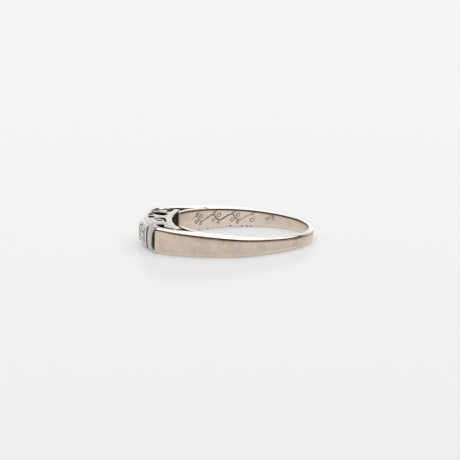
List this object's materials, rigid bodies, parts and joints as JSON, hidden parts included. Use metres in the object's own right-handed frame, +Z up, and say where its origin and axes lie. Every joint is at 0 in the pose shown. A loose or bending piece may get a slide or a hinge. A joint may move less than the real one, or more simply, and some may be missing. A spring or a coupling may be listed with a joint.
{
  "type": "engagement ring",
  "caption": "Slim finger ring with forked shoulders, a pierced scroll gallery and a domed head set with round diamonds in square collets.",
  "frame": {"origin": "centre of the finger hole at half the ring's width", "axes": "+Z along the finger hole, -X towards the head, +X towards the base of the shank, +Y to the left of the head seen from outside with +Z up"},
  "size_m": [0.0217, 0.02, 0.0034],
  "materials": {
    "white_gold": "worn polish, warm white gold",
    "platinum": "soft polish, cool white platinum",
    "diamond": "faceted, clear"
  },
  "bodies": {
    "root": {"shank": "white_gold", "bearing_leaf_left": "white_gold", "bearing_leaf_right": "white_gold", "finger_rail_upper": "platinum", "finger_rail_lower": "platinum", "gallery_upper": "platinum", "gallery_lower": "platinum", "head_plate": "platinum", "end_bar_left": "platinum", "end_bar_right": "platinum", "collet_centre": "platinum", "collet_left": "platinum", "collet_right": "platinum", "diamond_centre": "diamond", "diamond_left": "diamond", "diamond_right": "diamond"}
  },
  "joints": []
}
